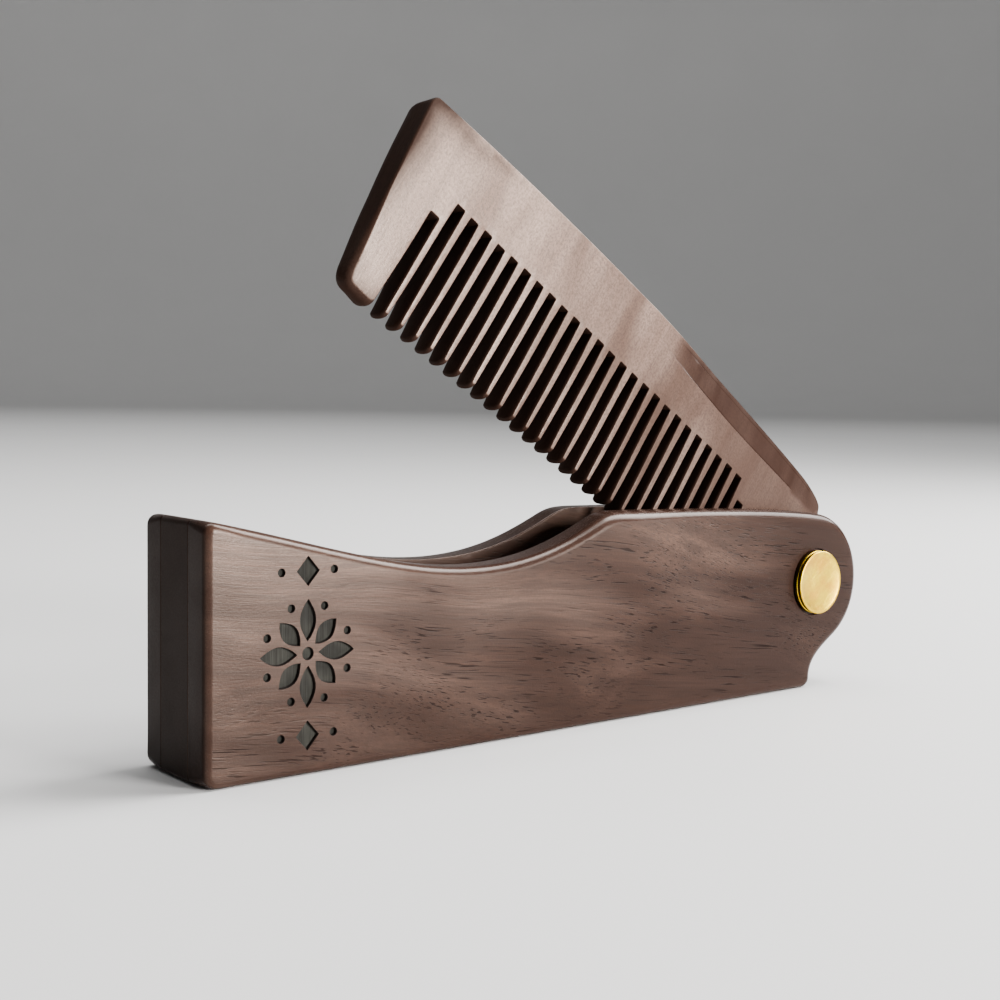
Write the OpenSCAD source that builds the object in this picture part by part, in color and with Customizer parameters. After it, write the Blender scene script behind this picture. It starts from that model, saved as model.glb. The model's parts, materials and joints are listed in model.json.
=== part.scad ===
// Folding beard comb: a wooden comb blade that swings out of a two-scale wooden handle on a brass pivot.
// Millimetres. +X runs from the butt to the pivot, +Y from the front scale to the rear one, +Z is up.
// The origin lies on the flat lower edge, halfway along the handle and halfway through its thickness.

/* [Handle] */
// Length from the butt face to the tip of the round end
handle_len = 110; // [106:0.5:116]
// Height at the butt face
butt_h = 29.1; // [28:0.1:31]
// Distance from the butt face to the lowest point of the finger dip
dip_x = 37; // [34:0.5:40]
// Height at the lowest point of the finger dip
dip_h = 21.8; // [20.5:0.1:23.5]
// Distance from the butt face to the knee, where the dip has risen to the straight stretch
knee_x = 62; // [59:0.5:65]
// Height at the knee
knee_h = 27.4; // [26.6:0.1:28]
// Radius of the round end, about the pivot
end_r = 10; // [9.8:0.1:10.6]
// Distance from the pivot back to the foot of the round end, where the flat lower edge stops
foot_back = 0.3; // [0.3:0.1:1]
// Thickness of one scale
scale_t = 4.1; // [3.2:0.1:4.6]
// Radius of the rounded outer edges of the scales
edge_r = 1; // [0.6:0.1:1.4]

/* [Spacers] */
// Length of the block between the scales at the butt
butt_spacer_len = 7.6; // [5:0.1:7.8]
// Height of the strip between the scales along the lower edge
strip_h = 1.9; // [1.2:0.1:2]
// Height of the stop nose at the pivot end of that strip
nose_h = 5.2; // [4:0.1:5.3]
// Length of the stop nose
nose_len = 12; // [8:0.5:13]

/* [Pivot] */
// Height of the pivot axis above the flat lower edge
pivot_z = 15.6; // [15.4:0.1:16]
// Diameter of the barrel that the blade turns on
barrel_d = 5; // [4:0.1:5.6]
// Diameter of the two brass heads
head_d = 9.2; // [8:0.1:11]
// How far each head stands proud of its scale
head_h = 1.1; // [0.6:0.1:1.6]
// Diameter of the screw inside the barrel
screw_d = 3; // [2.5:0.1:3.2]
// Outer diameter of the washers
washer_d = 9; // [8:0.1:12]
// Thickness of one washer
washer_t = 0.5; // [0.4:0.05:0.8]

/* [Comb blade] */
// Greatest thickness of the blade
blade_t = 5; // [4.6:0.1:5.6]
// Thickness of the blade at the teeth's tips, all of it taken off the rear face
tip_t = 3.5; // [3.2:0.1:4.2]
// Distance from the pivot to the free end, at the spine
blade_len = 90.9; // [90:0.1:91]
// Number of teeth
tooth_count = 26; // [24:1:26]
// Distance from one tooth to the next
tooth_pitch = 2.552; // [2.5:0.001:2.56]
// Width of a gap at its root
gap_root = 1.3; // [1:0.05:1.5]
// Width of a gap at the tips
gap_tip = 1.65; // [1.4:0.05:1.7]
// How far the blade is swung out of the handle
open_angle = 35; // [0:1:180]

/* [Hidden] */
$fn = 64;

handle_wood = "#4a332a";
spacer_wood = "#3b2822";
blade_wood = "#5c4437";
brass = "#c9a046";

side_gap = 0.1;           // between a washer and the blade
fit_gap = 0.05;           // radial gap between the barrel and what it passes through
thread_gap = 0.05;        // radial gap between the screw and the barrel's thread
barrel_short = 0.4;       // how far the barrel stops short of the rear head
screw_bite = 9.5;         // length of the screw's shank
head_bevel = 0.25;        // bevel round the rim of a head
slot_w = 1;               // screwdriver slot in the rear head
slot_deep = 0.5;
stop_gap = 0.2;           // between the stop nose and the open blade's shoulder
cut = 1;                  // how far a cutting shape runs past what it cuts
curve_steps = 12;         // straight steps in one drawn curve
round_steps = 3;          // rings in a rounded edge

channel_w = blade_t + 2 * (washer_t + side_gap);
handle_t = channel_w + 2 * scale_t;
pivot_x = handle_len - end_r;
foot_x = pivot_x - foot_back;
foot_bevel = 0.7;         // small bevels at the ends of the flat lower edge
butt_bevel = 0.5;

// Where the handle's outline leaves the round end, as angles about the pivot
end_top_angle = 81;
end_foot_angle = -58;

// ---- Curves ----

function bezier_at(p, t) =
    pow(1 - t, 3) * p[0] + 3 * t * pow(1 - t, 2) * p[1] + 3 * t * t * (1 - t) * p[2] + pow(t, 3) * p[3];

// Points of a cubic curve, without its last one, so that curves can follow each other
function bezier(p, steps = curve_steps) = [for (i = [0:steps - 1]) bezier_at(p, i / steps)];

// Points of an arc, both ends included
function arc(centre, r, from, to, steps) =
    [for (i = [0:steps]) let (a = from + (to - from) * i / steps) centre + r * [cos(a), sin(a)]];

// ---- Handle outline, in X and Z, with X counted from the butt face ----

pivot = [pivot_x, pivot_z];
end_top = pivot + end_r * [cos(end_top_angle), sin(end_top_angle)];
end_foot = pivot + end_r * [cos(end_foot_angle), sin(end_foot_angle)];
rise_start = [knee_x - 4.8, knee_h - 0.85];

// From the top of the butt down into the finger dip
dip_curve = [[butt_bevel, butt_h - 0.1], [0.38 * dip_x, butt_h - 3], [0.7 * dip_x, dip_h], [dip_x, dip_h]];
// Up out of the dip
rise_curve = [[dip_x, dip_h], [dip_x + 9, dip_h], rise_start - [5.7, 2.6], rise_start];
// Over the knee
knee_curve = [rise_start, rise_start + [1.7, 0.78], [knee_x - 1.8, knee_h], [knee_x, knee_h]];
// Along the straight stretch to the round end
back_curve = [
    [knee_x, knee_h], [knee_x + 14, knee_h - 0.25],
    end_top + 7.5 * [-sin(end_top_angle), cos(end_top_angle)], end_top
];
// Under the round end to the foot
foot_curve = [
    end_foot, end_foot + 2.7 * [sin(end_foot_angle), -cos(end_foot_angle)],
    [foot_x + 0.4, 4.2], [foot_x, foot_bevel]
];

handle_outline = concat(
    [[0, butt_bevel], [0, butt_h - butt_bevel]],
    bezier(dip_curve), bezier(rise_curve), bezier(knee_curve, 5), bezier(back_curve),
    arc(pivot, end_r, end_top_angle, end_foot_angle, 24),
    [for (p = bezier(foot_curve, 8)) if (p != end_foot) p],
    [[foot_x, foot_bevel], [foot_x - foot_bevel, 0], [butt_bevel, 0]]
);

// ---- Blade outline, in X and Z about the pivot, with the blade closed ----

tang_r = 9.8;
shoulder_x = 0.1;         // the shoulder that meets the stop nose when the blade is fully open
shoulder_top = 12.8;
shoulder_bevel = [-2.2, 14.1];
free_top = [-blade_len, 11];
free_foot = [2.3 - blade_len, -12.6];
guard_foot = [3.4 - blade_len, -13.7];
first_gap = -82.6;        // centre of the gap next to the guard
tip_flare = 0.3;          // how far a gap widens over the last of a tooth
taper_top = 4;            // where the teeth begin to thin
taper_waist = -5;         // where they begin to thin faster
taper_share = 0.35;       // how much of the thinning is done by then
taper_foot = -14;

function gap_x(n) = first_gap + tooth_pitch * n;
function tip_z(x) = -11.2 - 0.00058 * pow(x + 20, 2);
function root_z(n) = n == 0 ? 0.9 : n == tooth_count ? 2.9 : 4.15 + 0.03 * (gap_x(n) - gap_x(1));

last_gap = gap_x(tooth_count);
spine_start = [1.6 - blade_len, 13.1];
spine_curve = [spine_start, [-66, 14.9], [-32, 16.2], shoulder_bevel];

blade_outline = concat(
    [free_foot, free_top, [0.6 - blade_len, 12.6]],
    bezier(spine_curve, 10),
    [shoulder_bevel, [-0.6, 13.6], [shoulder_x, shoulder_top]],
    arc([0, 0], tang_r, 90 - asin(shoulder_x / tang_r), -90, 14),
    [[last_gap + 3, -tang_r], [last_gap + 2.2, tip_z(last_gap) + 0.5]],
    [for (x = [last_gap - 4:-9:first_gap]) [x, tip_z(x)]],
    [guard_foot]
);

// The space between two teeth, flared where it leaves them so that their tips are rounded
module gap_shape(n) {
    low = tip_z(gap_x(n));
    corner = [[gap_root / 2, root_z(n)], [gap_tip / 2, low + 0.7], [gap_tip / 2 + 0.4 * tip_flare, low + 0.25],
        [gap_tip / 2 + tip_flare, low], [gap_tip / 2 + tip_flare, low - cut]];
    translate([gap_x(n), 0])
        polygon(concat(corner, [for (i = [len(corner) - 1:-1:0]) [-corner[i][0], corner[i][1]]]));
}

// What is planed off the rear of the toothed part, as depth from the middle against height. The teeth thin
// gently below the web and faster near their tips.
module taper_section() {
    full = blade_t / 2;
    tip = full - (blade_t - tip_t);
    waist = full + (tip - full) * taper_share;
    run_out = cut * (taper_top - taper_waist) / (full - waist);
    polygon([
        [full + cut, taper_top + run_out], [waist, taper_waist], [tip, taper_foot],
        [tip, taper_foot - cut], [full + cut, taper_foot - cut]
    ]);
}

// ---- Placing helpers ----

// Stands a flat X-Z drawing up, centred on Y, and gives it a thickness
module upright(thickness) {
    translate([0, thickness / 2, 0])
        rotate([90, 0, 0])
            linear_extrude(height = thickness)
                children();
}

module from_butt() {
    translate([-handle_len / 2, 0, 0])
        children();
}

module at_pivot() {
    translate([pivot_x - handle_len / 2, 0, pivot_z])
        children();
}

// A cylinder along Y, from one Y to another
module along_y(d, from, to) {
    translate([0, to, 0])
        rotate([90, 0, 0])
            cylinder(d = d, h = to - from);
}

// ---- A slab with rounded edges ----

function turn_left(v) = [-v[1], v[0]];
function unit(v) = v / norm(v);

// The outline moved inwards by d. It runs clockwise, so inwards is to the right of each side.
function inset(outline, d) = let (n = len(outline)) [
    for (i = [0:n - 1]) let (
        before = -turn_left(unit(outline[i] - outline[(i + n - 1) % n])),
        after = -turn_left(unit(outline[(i + 1) % n] - outline[i])),
        middle = unit(before + after)
    ) outline[i] + d / (middle * after) * middle
];

// One ring of points: the outline part of the way round an edge of radius r, at height y
function ring(outline, r, a, y) = [for (p = inset(outline, r * (1 - cos(a)))) [p[0], y, p[1]]];

// Rings of points at rising Y, round one edge and then the other. A radius of 0 leaves an edge sharp.
function slab_rings(outline, t, low_r, high_r) = concat(
    low_r == 0
        ? [ring(outline, 0, 0, 0)]
        : [for (k = [round_steps:-1:0]) let (a = 90 * k / round_steps) ring(outline, low_r, a, low_r * (1 - sin(a)))],
    [for (k = [0:round_steps]) let (a = 90 * k / round_steps) ring(outline, high_r, a, t - high_r * (1 - sin(a)))]
);

module rounded_slab(outline, t, low_r, high_r) {
    rings = slab_rings(outline, t, low_r, high_r);
    n = len(outline);
    top = len(rings) - 1;
    polyhedron(
        points = [for (one = rings) each one],
        faces = concat(
            [[for (i = [0:n - 1]) i]],
            [for (k = [0:top - 1], i = [0:n - 1]) let (a = k * n, b = a + n, j = (i + 1) % n)
                [a + i, b + i, b + j, a + j]],
            [[for (i = [n - 1:-1:0]) top * n + i]]
        )
    );
}

// ---- Sub-parts ----

// A scale with its inner face at Y = 0 and its rounded outer face towards +Y
module scale_blank() {
    difference() {
        rounded_slab(handle_outline, scale_t, 0, edge_r);
        translate([pivot_x, 0, pivot_z])
            along_y(barrel_d + 2 * fit_gap, -cut, scale_t + cut);
    }
}

module rear_scale() {
    color(handle_wood)
        from_butt()
            translate([0, channel_w / 2, 0])
                scale_blank();
}

module front_scale() {
    color(handle_wood)
        from_butt()
            mirror([0, 1, 0])
                translate([0, channel_w / 2, 0])
                    scale_blank();
}

module butt_spacer() {
    color(spacer_wood)
        from_butt()
            upright(channel_w)
                intersection() {
                    polygon(handle_outline);
                    square([butt_spacer_len, butt_h]);
                }
}

module back_spacer() {
    stop_x = pivot_x - shoulder_x - stop_gap;
    color(spacer_wood)
        from_butt()
            upright(channel_w)
                intersection() {
                    polygon(handle_outline);
                    polygon([
                        [butt_spacer_len, 0], [butt_spacer_len, strip_h], [stop_x - nose_len - 2, strip_h],
                        [stop_x - nose_len, nose_h], [stop_x, nose_h], [stop_x, 0]
                    ]);
                }
}

module taper_cut() {
    translate([-blade_len - cut, 0, 0])
        rotate([90, 0, 90])
            linear_extrude(height = blade_len + cut + last_gap)
                taper_section();
}

module comb_blade() {
    color(blade_wood)
        at_pivot()
            rotate([0, open_angle, 0])
                difference() {
                    upright(blade_t)
                        difference() {
                            polygon(blade_outline);
                            for (n = [0:tooth_count])
                                gap_shape(n);
                        }
                    taper_cut();
                    along_y(barrel_d + 2 * fit_gap, -blade_t, blade_t);
                }
}

module washer(y) {
    color(brass)
        at_pivot()
            difference() {
                along_y(washer_d, y, y + washer_t);
                along_y(barrel_d + 2 * fit_gap, y - cut, y + washer_t + cut);
            }
}

module front_washer() {
    washer(-channel_w / 2);
}

module rear_washer() {
    washer(channel_w / 2 - washer_t);
}

// A flat head with a bevelled rim, its underside at Y = 0 and its face towards +Y
module head() {
    rotate([-90, 0, 0])
        rotate_extrude()
            polygon([
                [0, 0], [head_d / 2, 0], [head_d / 2, head_h - head_bevel],
                [head_d / 2 - head_bevel, head_h], [0, head_h]
            ]);
}

module pivot_post() {
    barrel_end = handle_t / 2 - barrel_short;
    color(brass)
        at_pivot()
            difference() {
                union() {
                    translate([0, -handle_t / 2, 0])
                        mirror([0, 1, 0])
                            head();
                    along_y(barrel_d, -handle_t / 2, barrel_end);
                }
                along_y(screw_d + 2 * thread_gap, handle_t / 2 - screw_bite - cut, barrel_end + cut);
            }
}

module pivot_screw() {
    color(brass)
        at_pivot()
            difference() {
                union() {
                    translate([0, handle_t / 2, 0])
                        head();
                    along_y(screw_d, handle_t / 2 - screw_bite, handle_t / 2);
                }
                translate([-head_d, handle_t / 2 + head_h - slot_deep, -slot_w / 2])
                    cube([2 * head_d, slot_deep + cut, slot_w]);
            }
}

front_scale();
rear_scale();
butt_spacer();
back_spacer();
comb_blade();
pivot_post();
pivot_screw();
front_washer();
rear_washer();
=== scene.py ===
"""A folding wooden beard comb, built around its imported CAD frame.

Drawings are in millimetres and the scene is in metres."""
import json
from math import cos, exp, pi, radians, sin

import bmesh
import bpy
import numpy as np
from mathutils import Matrix, Vector, noise
from mathutils.geometry import delaunay_2d_cdt


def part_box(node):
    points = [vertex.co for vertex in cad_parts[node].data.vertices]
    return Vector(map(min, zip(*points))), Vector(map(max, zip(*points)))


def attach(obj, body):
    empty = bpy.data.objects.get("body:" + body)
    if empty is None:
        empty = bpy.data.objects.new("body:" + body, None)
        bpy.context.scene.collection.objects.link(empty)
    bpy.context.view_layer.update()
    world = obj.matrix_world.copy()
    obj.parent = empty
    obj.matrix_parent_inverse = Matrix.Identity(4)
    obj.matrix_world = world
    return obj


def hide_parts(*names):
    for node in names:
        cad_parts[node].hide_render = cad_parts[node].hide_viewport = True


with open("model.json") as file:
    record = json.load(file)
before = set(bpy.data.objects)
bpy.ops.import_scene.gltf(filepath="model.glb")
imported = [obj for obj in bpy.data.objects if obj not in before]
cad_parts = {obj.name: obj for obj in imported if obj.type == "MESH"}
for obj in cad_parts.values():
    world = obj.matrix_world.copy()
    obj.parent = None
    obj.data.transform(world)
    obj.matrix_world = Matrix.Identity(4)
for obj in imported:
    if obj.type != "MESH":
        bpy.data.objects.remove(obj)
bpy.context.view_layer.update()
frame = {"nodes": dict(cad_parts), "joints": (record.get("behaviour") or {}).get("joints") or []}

MM = 0.001

# ---- Sizes taken from the frame, in millimetres ----


def box_mm(node):
    low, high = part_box(node)
    return low / MM, high / MM


scale_low, scale_high = box_mm("rear_scale")
blade_low, blade_high = box_mm("comb_blade")
screw_low, screw_high = box_mm("pivot_screw")
spacer_high = box_mm("butt_spacer")[1]
strip_low, strip_high = box_mm("back_spacer")
hinge = frame["joints"][0]

BUTT_X = scale_low.x
HANDLE_LEN = scale_high.x - scale_low.x
BUTT_H = scale_high.z
SCALE_T = scale_high.y - scale_low.y
CHANNEL_W = 2 * scale_low.y
BLADE_T = blade_high.y - blade_low.y
HEAD_R = (screw_high.x - screw_low.x) / 2
HEAD_OUT = screw_high.y
PIVOT = Vector(hinge["pos_m"]) / MM
OPEN_ANGLE = -hinge["range_deg"][0]
PIVOT_X = PIVOT.x - BUTT_X
HANDLE_OUT = CHANNEL_W / 2 + SCALE_T

# ---- Sizes that the frame doesn't give, in millimetres ----

# The handle, with X from the butt and the second number as height
DIP = (37, 21.8)              # lowest point of the finger dip
KNEE = (62, 27.4)             # where the dip has risen to the straight stretch
END_R = HANDLE_LEN - PIVOT_X  # the round end, about the pivot
END_TOP, END_FOOT = 81, -58   # angles at which the outline leaves the round end
FOOT_X = PIVOT_X - 0.3        # where the flat lower edge ends
INNER_CORNER_R = 0.9          # the butt's corners beside the channel
OUTER_CORNER_R = 1.6          # the butt's corners on the outer faces
STRIP_H = 1.9                 # the strip along the lower edge
NOSE_LEN = 12                 # its nose, which stops the open blade
MOTIF = Vector((12.6, 13.7))  # centre of the recessed ornament on the front scale
RECESS_DEEP = 0.42

# The pivot
BORE_R = 2.55
BARREL_R = 2.5
SEAT_R = 4.92                 # the shallow seat that a head sinks into
SEAT_DEEP = 0.5
HEAD_FOOT = HANDLE_OUT - SEAT_DEEP + 0.02

# The blade, drawn closed, about the pivot
TOOTH_COUNT = 26
TOOTH_PITCH = 2.552
GAP_ROOT, GAP_TIP = 1.3, 1.65
FIRST_GAP = -82.6
TIP_R = 0.55                  # rounding of a tooth's tip
TIP_LIFT = 0.6                # how far the tip's edges draw back upwards
TANG_R = 9.8
BLADE_LEN = 90.9
SHOULDER = Vector((-5.5, 14.4))  # where the spine turns down to the tang
BEVEL_START, BEVEL_FULL, BEVEL_END = -47, -26, -7
BEVEL_STEP, BEVEL_DROP = 0.2, 0.55
LEDGE_STEP, LEDGE_IN = 0.16, 1.0

# Edges, as (inset on the face, depth down the wall)
CHANNEL_EDGE = (0.22, 0.25)
GLUED_EDGE = (0.07, 0.08)

# How finely the shapes are made
EDGE_STEPS = 5                # rings in a rounded edge
BORE_STEPS = 64
LATHE_STEPS = 96
GAP_STEPS = 11                # along one side of a gap
END_STEPS = 12                # along each stretch of the blade's free end
SPINE_STEPS = 80
FOOT_STEPS = 20               # from the guard's tip round to the free end

# ---- Flat curves, as lists of points without the last one, so that they can follow each other ----


def bezier(a, b, c, d, steps, start=0.0):
    points = []
    for i in range(steps):
        t = start + (1 - start) * i / steps
        points.append(Vector([
            (1 - t) ** 3 * a[k] + 3 * t * (1 - t) ** 2 * b[k] + 3 * t * t * (1 - t) * c[k] + t ** 3 * d[k]
            for k in (0, 1)
        ]))
    return points


def line(a, b, steps):
    return [Vector(a).lerp(Vector(b), i / steps) for i in range(steps)]


def arc(centre, r, start, end, steps):
    angles = [radians(start + (end - start) * i / steps) for i in range(steps)]
    return [Vector((centre[0] + r * cos(a), centre[1] + r * sin(a))) for a in angles]


def smooth_step(low, high, x):
    t = min(1, max(0, (x - low) / (high - low)))
    return t * t * (3 - 2 * t)


# ---- A mesh in the making ----


class Shape:
    """Points in millimetres and faces. Each point has a rim value, 1 on an edge or a wall and 0 on a face. The
    materials darken by it: partly wear, partly painted shade on walls, in gaps and seats and where surfaces
    turn from the light.
    """

    def __init__(self):
        self.points, self.rims, self.faces, self.second = [], [], [], set()

    def add(self, points, rim=1.0):
        start = len(self.points)
        self.points += [Vector(p) for p in points]
        self.rims += [rim] * len(points)
        return list(range(start, start + len(points)))

    def bridge(self, ring, other, second=False):
        n = len(ring)
        for i in range(n):
            if second:
                self.second.add(len(self.faces))
            self.faces.append((ring[i], ring[(i + 1) % n], other[(i + 1) % n], other[i]))

    def fan(self, ring, tip):
        n = len(ring)
        self.faces += [(ring[i], ring[(i + 1) % n], tip) for i in range(n)]


def inside(points, loops):
    """For each point, whether it lies inside an odd number of the loops."""
    hits = np.zeros(len(points), int)
    x, z = points[:, :1], points[:, 1:]
    for loop in loops:
        a, b = loop, np.roll(loop, -1, axis=0)
        crosses = (a[:, 1] > z) != (b[:, 1] > z)
        rise = np.where(a[:, 1] == b[:, 1], 1, b[:, 1] - a[:, 1])
        hits += (crosses & (x < (b[:, 0] - a[:, 0]) * (z - a[:, 1]) / rise + a[:, 0])).sum(1)
    return hits % 2 == 1


def distance(points, others):
    """From each point to the nearest of the others."""
    gaps = [np.sqrt(((points[i:i + 400, None] - others[None]) ** 2).sum(2)).min(1)
            for i in range(0, len(points), 400)]
    return np.concatenate(gaps) if gaps else np.zeros(0)


def from_border(p, border):
    """From one point to the nearest point of a border."""
    return distance(np.array([tuple(p)]), border)[0]


def without_hairlines(faces, points, border):
    """Drops the triangles without width that the triangulation leaves along straight stretches of the border,
    which would give an edge three faces."""

    def width(face):
        a, b, c = (points[i] for i in face)
        return abs((b[0] - a[0]) * (c[1] - a[1]) - (c[0] - a[0]) * (b[1] - a[1]))

    while True:
        users = {}
        for face in faces:
            for i in range(3):
                users.setdefault(frozenset((face[i], face[i - 1])), []).append(face)
        odd = [min(found, key=width) for side, found in users.items() if len(found) != 2 - (side in border)]
        thin = {face for face in odd if width(face) < 0.001}
        if not thin:
            return faces
        faces = [face for face in faces if face not in thin]


def fill(loops, spacing, creases=()):
    """Triangles between flat loops, with a grid of extra points. Gives the extra points, and faces that count
    the loops' points first, then the creases', then the grid's."""
    flat = [np.array([tuple(p) for p in loop]) for loop in loops]
    lines = [np.array([tuple(p) for p in crease]) for crease in creases]
    edges, count = [], 0
    for loop in flat:
        edges += [(count + i, count + (i + 1) % len(loop)) for i in range(len(loop))]
        count += len(loop)
    loop_count, border = count, {frozenset(edge) for edge in edges}
    for crease in lines:
        edges += [(count + i, count + i + 1) for i in range(len(crease) - 1)]
        count += len(crease)
    fixed = np.concatenate(flat + lines)
    low, high = flat[0].min(0), flat[0].max(0)
    xs, zs = (np.arange(low[k] + spacing / 2, high[k], spacing) for k in (0, 1))
    grid = np.array([(x + (row % 2) * spacing / 2, z) for row, z in enumerate(zs) for x in xs])
    if len(grid):
        grid = grid[inside(grid, flat)]
        grid = grid[distance(grid, fixed) > 0.5 * spacing]
    everything = np.concatenate([fixed, grid]) if len(grid) else fixed
    made = delaunay_2d_cdt([Vector(p) for p in everything], edges, [], 0, 1e-6, True)
    points, triangles, origins = made[0], made[2], made[3]
    centres = np.array([sum((points[i] for i in t), Vector((0, 0))) / 3 for t in triangles])
    kept = inside(centres, flat)
    faces = [tuple(origins[i][0] for i in t) for t, keep in zip(triangles, kept) if keep]
    return [Vector(p) for p in everything[loop_count:]], without_hairlines(faces, everything, border)


def inward(outline):
    """For each point of a clockwise outline, the way inwards, long enough to keep a mitre's width."""
    ways, n = [], len(outline)
    for i, p in enumerate(outline):
        before = (p - outline[i - 1]).normalized()
        after = (outline[(i + 1) % n] - p).normalized()
        middle = (before + after).normalized()
        way = Vector((middle.y, -middle.x))
        ways.append(way / max(0.5, middle.dot(after)))
    return ways


# ---- Slabs: a low face and a high face along Y, with rounded edges between them ----


def edge_ring(outline, ways, edges, face, side, a):
    """The outline part of the way round its edge, at angle a: 0 lies on the face and 90 on the wall."""
    ring = []
    for p, way, (inset, depth, *shift) in zip(outline, ways, edges):
        moved = p + (way * inset + Vector(shift or (0, 0))) * (1 - sin(a))
        ring.append(Vector((moved.x, face(moved.x, moved.y) + side * depth * (1 - cos(a)), moved.y)))
    return ring


def cap(shape, ring, bores, recesses, face, spacing, creases, rim_of, side):
    """Closes one face of a slab. Gives the rings of the bores' mouths."""
    loops = [[Vector((p.x, p.z)) for p in (shape.points[i] for i in ring)]]
    mouths = []
    for centre, r in bores:
        circle = arc(centre, r, 0, 360, BORE_STEPS)
        loops.append(circle)
        mouths.append(shape.add([(p.x, face(p.x, p.y), p.y) for p in circle], 0.3))
    tops = []
    for outline in recesses:
        loops.append(outline)
        tops.append(shape.add([(p.x, face(p.x, p.y), p.y) for p in outline], 0.5))
    extra, faces = fill(loops, spacing, creases)
    known = list(ring) + [i for mouth in mouths for i in mouth] + [i for top in tops for i in top]
    first = len(shape.points)
    shape.add([(p.x, face(p.x, p.y), p.y) for p in extra], 0)
    for k, p in enumerate(extra):
        shape.rims[first + k] = rim_of(p)
    known += range(first, first + len(extra))
    shape.faces += [tuple(known[i] for i in triangle) for triangle in faces]
    for outline, top in zip(recesses, tops):
        sink(shape, outline, top, face, side)
    return mouths


def sink(shape, outline, top, face, side):
    """The walls and the floor of a recess, which take the second material."""
    ways = inward(outline)
    ring = top
    for inset, deep in ((0.05, 0.1), (0.09, RECESS_DEEP)):
        moved = [p + way * inset for p, way in zip(outline, ways)]
        lower = shape.add([(p.x, face(p.x, p.y) + side * deep, p.y) for p in moved], 0)
        shape.bridge(ring, lower, second=True)
        ring = lower
    extra, faces = fill([moved], 5)
    known = list(ring) + shape.add([(p.x, face(p.x, p.y) + side * RECESS_DEEP, p.y) for p in extra], 0)
    for triangle in faces:
        shape.second.add(len(shape.faces))
        shape.faces.append(tuple(known[i] for i in triangle))


def slab(low, high, low_edges, high_edges, low_face, high_face, spacing, bores=(), recesses=(), creases=(),
         rim_of=lambda p: 0.0):
    """A solid between two matching outlines. A bore is (centre, [(radius, y), ...]) from high to low, where
    the first and the last y are None and lie on the faces. Recesses and creases are on the high face."""
    shape = Shape()
    low_ways, high_ways = inward(low), inward(high)
    rings = []
    for k in range(EDGE_STEPS + 1):
        a = pi / 2 * k / EDGE_STEPS
        rings.append(edge_ring(low, low_ways, low_edges, low_face, 1, a))
    tail = [edge_ring(high, high_ways, high_edges, high_face, -1, pi / 2 * k / EDGE_STEPS)
            for k in range(EDGE_STEPS, -1, -1)]
    halfway = [p.lerp(q, 0.5) for p, q in zip(rings[-1], tail[0])]
    rings += [halfway] + tail
    numbers = [shape.add(ring) for ring in rings]
    for a, b in zip(numbers, numbers[1:]):
        shape.bridge(a, b)
    for i in numbers[0] + numbers[-1]:
        shape.rims[i] = rim_of(Vector((shape.points[i].x, shape.points[i].z)))
    low_bores = [(centre, path[-1][0]) for centre, path in bores]
    high_bores = [(centre, path[0][0]) for centre, path in bores]
    low_mouths = cap(shape, numbers[0], low_bores, (), low_face, spacing, (), rim_of, 1)
    high_mouths = cap(shape, numbers[-1], high_bores, recesses, high_face, spacing, creases, rim_of, -1)
    for (centre, path), high_mouth, low_mouth in zip(bores, high_mouths, low_mouths):
        ring = high_mouth
        # The bore's and the seat's walls take rim 1 and are drawn dark: painted shade round the pivot head.
        for r, y in path[1:-1]:
            lower = shape.add([(p.x, y, p.y) for p in arc(centre, r, 0, 360, BORE_STEPS)], 1)
            shape.bridge(ring, lower)
            ring = lower
        shape.bridge(ring, low_mouth)
    return shape


def lathe(profile, side):
    """A turned piece on the pivot axis. The profile is (radius, distance out along side) from axis to axis."""
    shape = Shape()
    rings = []
    for r, out in profile:
        if r == 0:
            rings.append(shape.add([(0, side * out, 0)], 0))
        else:
            rings.append(shape.add([(p.x, side * out, p.y) for p in arc((0, 0), r, 0, 360, LATHE_STEPS)], 0))
    for a, b in zip(rings, rings[1:]):
        if len(a) == 1:
            shape.fan(b, a[0])
        elif len(b) == 1:
            shape.fan(a, b[0])
        else:
            shape.bridge(a, b)
    return shape


def make_piece(name, shape, place, materials, body, node, crease_angle=38):
    """Turns a shape into an object that stands for a CAD node."""
    mesh = bpy.data.meshes.new(name)
    mesh.from_pydata([place @ p * MM for p in shape.points], [], shape.faces)
    rim = mesh.attributes.new("rim", "FLOAT", "POINT")
    rim.data.foreach_set("value", shape.rims)
    for number in shape.second:
        mesh.polygons[number].material_index = 1
    work = bmesh.new()
    work.from_mesh(mesh)
    bmesh.ops.recalc_face_normals(work, faces=work.faces)
    work.to_mesh(mesh)
    work.free()
    mesh.polygons.foreach_set("use_smooth", [True] * len(mesh.polygons))
    mesh.set_sharp_from_angle(angle=radians(crease_angle))
    for material in materials:
        mesh.materials.append(material)
    piece = bpy.data.objects.new(name, mesh)
    bpy.context.scene.collection.objects.link(piece)
    weighted = piece.modifiers.new("Even shading", "WEIGHTED_NORMAL")
    weighted.keep_sharp = True
    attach(piece, body)
    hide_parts(node)
    return piece


# ---- The handle ----


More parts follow.
